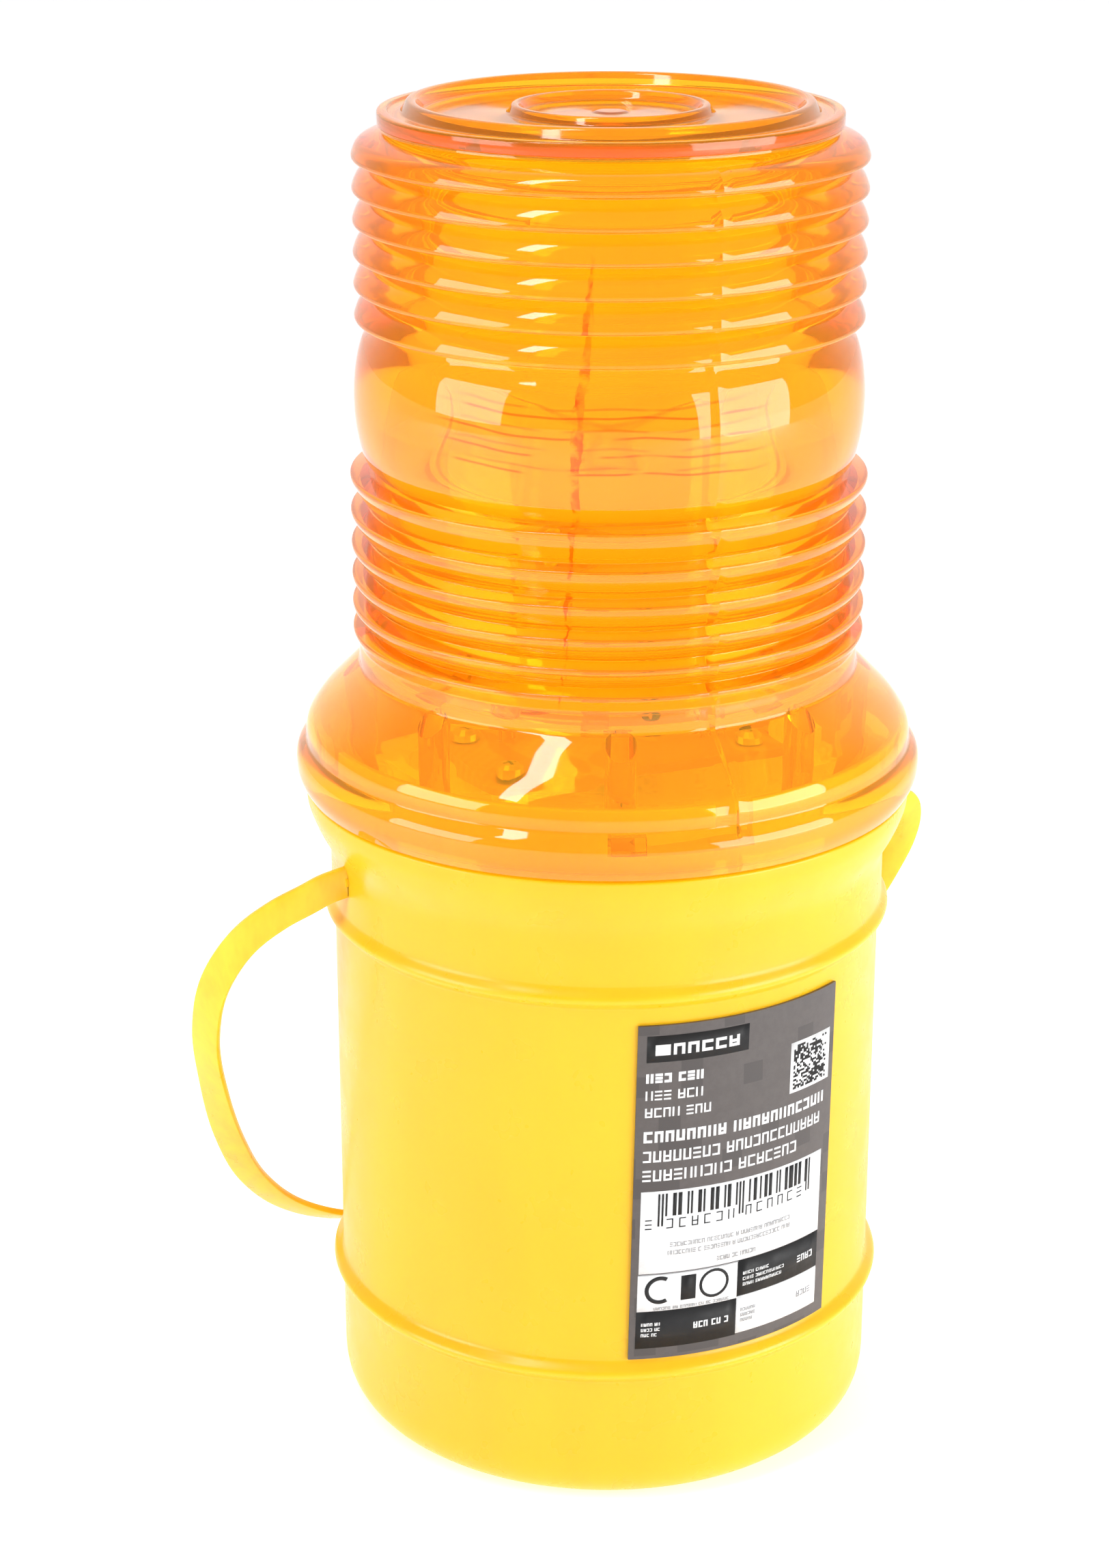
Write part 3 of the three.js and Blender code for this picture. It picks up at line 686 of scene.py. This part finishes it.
def lens_skirt():
    """The outside of the flange, the skirt and the shoulder."""
    return rounded([
        (51.2, LENS_FOOT),
        (52.25, LENS_FOOT, 0.3),
        (FLANGE_R, 119.9, 1.4),
        (FLANGE_R, 123.4, 1.6),
        (SKIRT_R + 0.1, 125.4, 0.3),
        (SKIRT_R, 128.2, 2.2),
        (49.3, 131.7, 3),
        (44.2, 136.8, 3),
        (42.35, 138.5, 0.5),
        (42.3, 140.6, 0.4),
    ])


def lower_rings():
    points = [(42.25, 141.4)]
    for i in reversed(range(RINGS)):
        crest = lower_crest(i)
        points += [
            (DRUM_R + 2.5, crest - 2.7, 1.5),
            (LOWER_RING_R, crest - 0.5, 0.35),
            (LOWER_RING_R - 0.1, crest + 0.15, 0.3),
            (DRUM_R + 0.7, crest + 0.75, 0.25),
        ]
    return points


def bulge():
    """The bull's-eye belt between the two groups of rings."""
    points = []
    half_steps = 8
    for i in range(2 * half_steps + 1):
        t = i / half_steps - 1
        rise = (BULGE_R - DRUM_R) * math.sqrt(max(0.0, 1 - t * t)) ** 1.3
        points.append((DRUM_R + rise, BULGE_Z + t * BULGE_HALF))
    return points


def upper_rings():
    points = []
    for i in range(RINGS):
        crest = upper_crest(i)
        points += [
            (DRUM_R - 0.2, crest - 0.75, 0.25),
            (RING_R - 0.1, crest - 0.2, 0.3),
            (RING_R, crest + 0.4, 0.4),
            (RING_R - 0.75, crest + 2.4, 1.5),
        ]
    return points


def lens_lid():
    """The lid: its undercut edge, two raised rings and the gate's stub."""
    return [
        (DRUM_R, 226.9, 1.5),
        (CAP_R - 0.9, 227.9, 0.4),
        (CAP_R - 0.9, CAP_UNDER),
        (CAP_R, CAP_UNDER, 0.25),
        (CAP_R, CAP_RIM_TOP, 0.5),
        (36.1, CAP_RIM_TOP, 0.2),
        (35.9, CAP_FACE + 0.4, 0.15),
        (33.9, CAP_FACE + 0.4, 0.3),
        (32.9, CAP_TOP, 0.5),
        (31.5, CAP_TOP, 0.5),
        (30.4, CAP_FACE, 0.5),
        (16.7, CAP_FACE, 0.4),
        (16.0, CAP_FACE + 1.5, 0.35),
        (14.9, CAP_FACE + 1.5, 0.35),
        (14.2, CAP_FACE, 0.4),
        (3.0, CAP_FACE, 0.3),
        (2.4, CAP_FACE + 0.3, 0.3),
        (0, CAP_FACE + 0.3),
    ]


def lens_outline():
    """The whole section of the lens, from the middle of its ceiling round to its lid."""
    drum = rounded([*lower_rings(), *bulge(), *upper_rings(), *lens_lid()], 3)
    return [*lens_bore(), *lens_skirt(), *drum]


# ---------- pieces ----------
def locked_angles():
    return [i * 360 / LOCKS - LOCK_TURN for i in range(LOCKS)]


def bayonet_slots(material):
    """Cutters for the slots: a run for each lug, and its entry from the collar's top."""
    cutters = []
    half = LUG_HALF + 0.6
    low, high = LUG_Z - GAP, LUG_Z + LUG_H + GAP
    size = (COLLAR_BORE - 1, COLLAR_R + 1.5)
    for locked in locked_angles():
        free = locked + LOCK_TURN
        cutters += [
            sector("run", *size, locked - half, free + half, low, high, material, 12),
            sector("entry", *size, free - half, free + half, low + 0.01, COLLAR_TOP + 1, material),
        ]
    return cutters


def make_body():
    material = MATERIALS["body_yellow"]
    body = lathe("body", body_outline(), material, 160)
    cutters = bayonet_slots(material)
    for side in (-1, 1):
        cutters.append(round_bar("hole", PIN_R + PIN_GAP, side * 40, side * 56, material))
    boolean(body, cutters, "DIFFERENCE", 40)
    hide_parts("body_shell")
    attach(body, "body")


def round_bar(name, radius, x0, x1, material, segments=32):
    """A closed round bar along X at the strap's height."""
    verts, faces = [], []
    for x in (min(x0, x1), max(x0, x1)):
        for i in range(segments):
            a = 2 * math.pi * i / segments
            verts.append(Vector((x, radius * math.cos(a), STRAP_Z + radius * math.sin(a))) * MM)
    for i in range(segments):
        j = (i + 1) % segments
        faces.append((i, j, segments + j, segments + i))
    faces += [tuple(reversed(range(segments))), tuple(range(segments, 2 * segments))]
    obj = new_object(name, verts, faces, material)
    face_outward(obj)
    return obj


def parting_line(azimuth, r, z):
    """A fine raised line where the mould's two halves met, front and back."""
    inside_or_widest = r < DRUM_BORE - 0.1 or r > FLANGE_R - 0.5
    if inside_or_widest or z > CEILING + 0.2:
        return 0.0
    away = min(abs((azimuth - middle + 180) % 360 - 180) for middle in (0, 180))
    return 0.10 if away < 0.2 else 0.0


def make_post(azimuth, material):
    """A hold-down post whose slanted top ends inside the shoulder's wall."""
    foot, top = PLATE_TOP + GAP, 141
    shoulder_sum = 179.4      # radius plus height in the middle of the shoulder's wall
    outline = rounded([(0, foot), (POST_R, foot, 0.4), (POST_R, top), (0, top)], 3)
    post = lathe("post", outline, material, 28)
    post.data.transform(Matrix.Translation(point(azimuth, POST_PITCH_R, 0)))
    for vertex in post.data.vertices:
        away = math.hypot(vertex.co.x, vertex.co.y) / MM
        vertex.co.z = min(vertex.co.z, (shoulder_sum - away) * MM)
    return post


def make_lens():
    material = MATERIALS["lens_amber"]
    extra = [m + d for m in (0, 180) for d in (-0.35, -0.12, 0.12, 0.35)]
    lens = lathe("lens_drum", lens_outline(), material, 144, parting_line, extra, sharp=50)
    joined = [make_post((i + 0.5) * 360 / POSTS + POST_OFFSET, material) for i in range(POSTS)]
    for locked in locked_angles():
        joined.append(sector("lug", COLLAR_BORE + GAP, LUG_ROOT_R, locked - LUG_HALF,
                             locked + LUG_HALF, LUG_Z, LUG_Z + LUG_H, material))
    boolean(lens, joined, "UNION", 50)
    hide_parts("lens")
    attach(lens, "lens")


def catmull_rom(points, per_span):
    """A centripetal curve through the points, as in the CAD part."""
    ends = [2 * points[0] - points[1], *points, 2 * points[-1] - points[-2]]
    curve = []
    for i in range(1, len(ends) - 2):
        p = ends[i - 1:i + 3]
        t = [0.0]
        for a, b in zip(p, p[1:]):
            t.append(t[-1] + math.sqrt((b - a).length))
        for k in range(per_span):
            u = t[1] + (t[2] - t[1]) * k / per_span
            a = [p[n].lerp(p[n + 1], (u - t[n]) / (t[n + 1] - t[n])) for n in range(3)]
            b = [a[n].lerp(a[n + 1], (u - t[n]) / (t[n + 2] - t[n])) for n in range(2)]
            curve.append(b[0].lerp(b[1], (u - t[1]) / (t[2] - t[1])))
    curve.append(points[-1])
    return curve


def smooth_value(values, t):
    """A smooth curve through equally spaced values, read at t from 0 to 1."""
    x = t * (len(values) - 1)
    i = min(int(x), len(values) - 2)
    u = x - i
    p = [values[max(0, min(len(values) - 1, i + k))] for k in (-1, 0, 1, 2)]
    a, b = p[1], 0.5 * (p[2] - p[0])
    c = p[0] - 2.5 * p[1] + 2 * p[2] - 0.5 * p[3]
    d = 1.5 * (p[1] - p[2]) + 0.5 * (p[3] - p[0])
    return a + b * u + c * u * u + d * u ** 3


def strap_centres():
    """The strap's centre line, from its left end round the bottom to its right end."""
    lean = math.radians(STRAP_LEAN)
    down = Vector((0, math.sin(lean), -math.cos(lean)))

    def place(s, t):
        return Vector((s, 0, STRAP_Z)) + down * t

    left = [place(-s, t) for s, t in STRAP_LEFT]
    right = [place(s, t) for s, t in reversed(STRAP_RIGHT)]
    return catmull_rom([*left, place(*STRAP_BOTTOM), *right], 8)


def strap_section():
    """The blade's cross-section with small round edges, as (across, through) points."""
    edge = 0.35
    section = []
    for w, t in ((-1, -1), (1, -1), (1, 1), (-1, 1)):
        steps = ((0, 1), (0.3, 0.3), (1, 0))
        for dw, dt in steps if w == t else reversed(steps):
            section.append((w * (STRAP_W / 2 - edge * dw), t * (STRAP_T / 2 - edge * dt)))
    return section


def make_strap():
    lean = math.radians(STRAP_LEAN)
    normal = Vector((0, math.cos(lean), math.sin(lean)))
    centres = strap_centres()
    lengths = [0.0]
    for a, b in zip(centres, centres[1:]):
        lengths.append(lengths[-1] + (b - a).length)
    section = strap_section()
    verts, faces = [], []
    count = len(section)
    last = len(centres) - 1
    for i, centre in enumerate(centres):
        along = (centres[min(i + 1, last)] - centres[max(i - 1, 0)]).normalized()
        if i in (0, last):
            along = Vector((-1, 0, 0))
        outward = normal.cross(along)
        gamma = math.radians(smooth_value(STRAP_TWIST, lengths[i] / lengths[-1]))
        across = normal * math.cos(gamma) + outward * math.sin(gamma)
        through = along.cross(across)
        verts += [(centre + across * w + through * t) * MM for w, t in section]
    for i in range(last):
        for k in range(count):
            m = (k + 1) % count
            faces.append((count * i + k, count * i + m, count * (i + 1) + m, count * (i + 1) + k))
    faces += [tuple(reversed(range(count))), tuple(range(count * last, count * (last + 1)))]
    material = MATERIALS["strap_plastic"]
    strap = new_object("strap", verts, faces, material, 40)
    face_outward(strap)
    ends = []
    for side in (-1, 1):
        ends.append(round_bar("pin", PIN_R, side * 44.5, side * (STRAP_START + 0.4), material))
        ends.append(round_bar("button", BUTTON_R, side * 43.4, side * 45.1, material))
    boolean(strap, ends, "UNION", 40)
    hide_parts("strap_handle")
    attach(strap, "strap")


# ---------- label ----------
INK_STEP = 0.02               # how far each layer of ink lies over the one below
# Strokes of the plain signs that stand in for letters.
SIGNS = [
    ("top", "middle", "bottom"),
    ("left", "right"),
    ("left", "right", "top"),
    ("left", "right", "bottom"),
    ("right", "top", "bottom"),
    ("left", "top", "bottom"),
    ("left", "right", "middle", "bottom"),
]
# Widths of a space, a bar, a space and a bar, in modules; they code nothing.
BAR_GROUPS = [(3, 2, 1, 1), (2, 1, 2, 2), (1, 4, 1, 1), (1, 1, 3, 2), (1, 2, 3, 1), (1, 3, 1, 2)]


class Print:
    """Flat blocks of one ink on the label, in millimetres from its lower left corner."""

    def __init__(self, name, material, layer):
        self.name, self.material = name, material
        self.radius = LABEL_R + INK_STEP * layer
        self.verts, self.faces = [], []
        self.chance = random.Random(len(name))

    def spot(self, x, y):
        """A place on the label, bent round the wall."""
        return point(LABEL_SPAN[0] + math.degrees(x / BODY_R), self.radius, LABEL_Z[0] + y)

    def block(self, x, y, w, h):
        """One block of ink, curved with the wall."""
        steps = max(1, round(w / 2))
        start = len(self.verts)
        for i in range(steps + 1):
            along = x + w * i / steps
            self.verts += [self.spot(along, y), self.spot(along, y + h)]
        for i in range(steps):
            b = start + 2 * i
            self.faces.append((b, b + 2, b + 3, b + 1))

    def ring(self, x, y, outer, inner, start=0, end=360):
        """Part of a flat ring about (x, y)."""
        first, steps = len(self.verts), 24
        for i in range(steps + 1):
            t = math.radians(start + (end - start) * i / steps)
            for r in (outer, inner):
                self.verts.append(self.spot(x + r * math.cos(t), y + r * math.sin(t)))
        for i in range(steps):
            b = first + 2 * i
            self.faces.append((b, b + 2, b + 3, b + 1))

    def sign(self, x, y, w, h, stroke):
        """One plain sign of level and upright strokes."""
        strokes = self.chance.choice(SIGNS)
        low = x + (stroke if "left" in strokes else 0)
        high = x + w - (stroke if "right" in strokes else 0)
        for name, left in (("left", x), ("right", high)):
            if name in strokes:
                self.block(left, y, stroke, h)
        for name, level in (("bottom", 0), ("middle", 0.5), ("top", 1)):
            if name in strokes:
                self.block(low, y + level * (h - stroke), high - low, stroke)

    def words(self, x, y, height, counts, pitch, stroke, fill=0.8):
        """A row of words of plain signs, one word for each count."""
        for count in counts:
            for _ in range(count):
                self.sign(x, y, fill * pitch, height, stroke)
                x += pitch
            x += 0.55 * pitch

    def make(self):
        obj = new_object(self.name, self.verts, self.faces, self.material)
        lean_label(obj)
        thickness = obj.modifiers.new("thickness", "SOLIDIFY")
        thickness.thickness = 0.015 * MM
        thickness.offset = -1
        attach(obj, "body")


def lean_label(obj):
    """Turns a label piece a little more the higher it lies, as the label was stuck on."""
    middle = sum(LABEL_Z) / 2
    for vertex in obj.data.vertices:
        turn = LABEL_LEAN * (vertex.co.z / MM - middle) / BODY_R
        vertex.co = Matrix.Rotation(turn, 3, "Z") @ vertex.co


def print_bars(ink, x, low, guard_low, high, module):
    """A pattern of bars that codes nothing: long pairs at the ends and the middle."""
    chance = random.Random(11)

    def guard(x):
        for k in (0, 2):
            ink.block(x + k * module, guard_low, module, high - guard_low)

    guard(x)
    x += 3 * module
    for side in range(2):
        for _ in range(6):
            position = x
            for i, width in enumerate(chance.choice(BAR_GROUPS)):
                if i % 2:
                    ink.block(position, low, width * module, high - low)
                position += width * module
            x += 7 * module
        guard(x + module * (1 - side))
        x += 5 * module


def print_cells(ink, x, y, size, count):
    """A square of random cells that codes nothing."""
    chance = random.Random(7)
    cell = size / count
    for row in range(count):
        for column in range(count):
            if chance.random() < 0.5:
                ink.block(x + cell * column, y + cell * row, cell, cell)


def print_title(black, top):
    """A dark box with a square and a row of signs in place of a name."""
    black.block(1.5, 54.9, 17.7, 4.7)
    top.block(2.9, 56.1, 2.5, 1.9)
    top.words(5.9, 56.1, 2.0, [5], 2.4, 0.55)


def print_rows(white):
    """Three short rows and three long rows of signs."""
    for y, counts, stroke in ((51.2, [3, 3], 0.48), (48.1, [3, 3], 0.3), (45.0, [4, 3], 0.3)):
        white.words(1.5, y, 1.7, counts, 1.52, stroke)
    long_rows = (
        (40.4, [8, 11], 1.82, 0.5),
        (36.8, [8, 12], 1.69, 0.36),
        (33.3, [9, 7], 1.76, 0.36),
    )
    for y, counts, pitch, stroke in long_rows:
        white.words(1.4, y, 2.05, counts, pitch, stroke)


def print_panel(white, bars, grey):
    """A square of cells, and a pale panel with a bar pattern and small rows."""
    white.block(28.1, 44.4, 9.7, 9.2)
    print_cells(bars, 28.8, 45.0, 8.0, 22)
    white.block(1.3, 16.1, 35.5, 15.3)
    print_bars(bars, 4.2, 26.7, 24.9, 30.9, 0.312)
    for x, count in ((2.1, 1), (5.7, 6), (19.9, 6)):
        bars.words(x, 24.4, 1.8, [count], 2.18, 0.2, 0.52)
    small_rows = (
        (6.4, 20.9, [10, 8, 1, 7, 9]),
        (6.1, 19.4, [8, 1, 8, 1, 14, 3]),
        (14.8, 17.0, [4, 2, 5]),
    )
    for x, y, counts in small_rows:
        grey.words(x, y, 0.78, counts, 0.62, 0.13)


def print_marks(black, white, top, bars, grey):
    """Four cells at the label's foot, with plain shapes and small rows."""
    grey.block(1.2, 15.85, 17.7, 0.14)
    white.block(1.2, 9.0, 17.6, 6.8)
    black.block(18.9, 9.3, 17.8, 6.7)
    black.block(1.1, 2.0, 17.7, 6.9)
    white.block(18.8, 2.2, 17.9, 7.0)
    bars.ring(5.0, 12.9, 2.6, 1.9, 60, 300)
    bars.ring(14.5, 12.9, 2.7, 2.2)
    bars.block(8.6, 10.6, 2.6, 4.6)
    grey.words(4.0, 9.15, 0.5, [6, 2, 6, 2, 2, 6], 0.5, 0.1)
    for i, count in enumerate((9, 15, 14)):
        top.words(19.9, 13.1 - 1.05 * i, 0.6, [4, count - 4], 0.56, 0.13)
    for i, counts in enumerate(([4, 2], [4, 2], [3, 2])):
        top.words(2.0, 6.2 - 1.0 * i, 0.6, counts, 0.5, 0.13)
        grey.words(19.7, 6.2 - 1.0 * i, 0.6, [6 - i // 2], 0.5, 0.13)
    top.words(31.6, 11.7, 1.3, [4], 1.0, 0.26)
    top.words(11.0, 4.9, 1.2, [3, 2, 1], 0.92, 0.26)
    grey.words(31.8, 5.0, 1.1, [4], 0.9, 0.2)


def make_label():
    material = MATERIALS["label_print"]
    label = sector("label_sheet", BODY_R + 0.05, LABEL_R, *LABEL_SPAN, *LABEL_Z, material, 40)
    lean_label(label)
    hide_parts("label")
    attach(label, "body")
    black = Print("label_ink_black", INK_BLACK, 2)
    white = Print("label_ink_white", INK_WHITE, 1)
    top = Print("label_ink_top", INK_WHITE, 3)
    bars = Print("label_ink_bars", INK_BLACK, 3)
    grey = Print("label_ink_grey", INK_GREY, 3)
    print_title(black, top)
    print_rows(white)
    print_panel(white, bars, grey)
    print_marks(black, white, top, bars, grey)
    for ink in (black, white, top, bars, grey):
        ink.make()


# ---------- CAD pieces that stay ----------
def finish_cad_nodes():
    """Smooth shading and a detailed material for every CAD node that is still shown."""
    slots = {s["node"]: s["material_slot"] for s in frame["record"]["subparts"]}
    for name, obj in frame["nodes"].items():
        material = MATERIALS[slots[name]]
        if not obj.material_slots:
            obj.data.materials.append(material)
        for entry in obj.material_slots:
            entry.material = material
        if not obj.hide_render:
            smooth(obj, 32)


# ---------- stage ----------
def make_camera():
    data = bpy.data.cameras.new("camera")
    data.sensor_width = 36.0
    data.lens = CAMERA_LENS
    camera = bpy.data.objects.new("camera", data)
    bpy.context.scene.collection.objects.link(camera)
    camera.location = point(CAMERA_AZIMUTH, CAMERA_DISTANCE, CAMERA_HEIGHT)
    turn = math.radians(CAMERA_AZIMUTH - CAMERA_YAW)
    camera.rotation_euler = (math.radians(90 - CAMERA_PITCH), 0, turn)
    bpy.context.scene.camera = camera


def area_light(name, azimuth, distance, height, size, power):
    """A soft box that faces the lantern's middle. Distances are in metres."""
    data = bpy.data.lights.new(name, "AREA")
    data.shape = "RECTANGLE"
    data.size, data.size_y = size
    data.energy = power
    light = bpy.data.objects.new(name, data)
    bpy.context.scene.collection.objects.link(light)
    light.location = point(azimuth, distance / MM, height / MM)
    aim = point(0, 0, 130) - light.location
    light.rotation_euler = aim.to_track_quat("-Z", "Y").to_euler()


def room_light(tree):
    """A white backdrop behind the lantern, and a dimmer room round it."""
    place = tree.nodes.new("ShaderNodeTexCoord").outputs["Generated"]
    along = tree.nodes.new("ShaderNodeVectorMath")
    along.operation = "DOT_PRODUCT"
    a = math.radians(CAMERA_AZIMUTH)
    along.inputs[1].default_value = (-math.sin(a), math.cos(a), BACKDROP_RISE)
    tree.links.new(place, along.inputs[0])
    level = tree.nodes.new("ShaderNodeMapRange")
    level.interpolation_type = "SMOOTHSTEP"
    level.inputs["From Min"].default_value = BACKDROP_EDGE[0]
    level.inputs["From Max"].default_value = BACKDROP_EDGE[1]
    level.inputs["To Min"].default_value = ROOM_LEVEL
    level.inputs["To Max"].default_value = BACKDROP_LEVEL
    tree.links.new(along.outputs["Value"], level.inputs["Value"])
    tree.links.new(level.outputs["Result"], tree.nodes["Background"].inputs["Strength"])
    tree.nodes["Background"].inputs["Color"].default_value = (1, 1, 1, 1)


def make_stage():
    scene = bpy.context.scene
    world = bpy.data.worlds.new("studio")
    world.use_nodes = True
    room_light(world.node_tree)
    scene.world = world
    scene.view_settings.view_transform = "Standard"
    scene.view_settings.look = "None"
    corners = [(-FLOOR_HALF, -FLOOR_HALF), (FLOOR_HALF, -FLOOR_HALF),
               (FLOOR_HALF, FLOOR_HALF), (-FLOOR_HALF, FLOOR_HALF)]
    floor = new_object("floor", [(x, y, 0) for x, y in corners], [(0, 1, 2, 3)], pale_floor())
    for name, azimuth, distance, height, size, power in WINDOWS:
        area_light(name, CAMERA_AZIMUTH + azimuth, distance, height, size, power)


make_camera()
make_stage()
make_body()
make_lens()
make_strap()
make_label()
finish_cad_nodes()
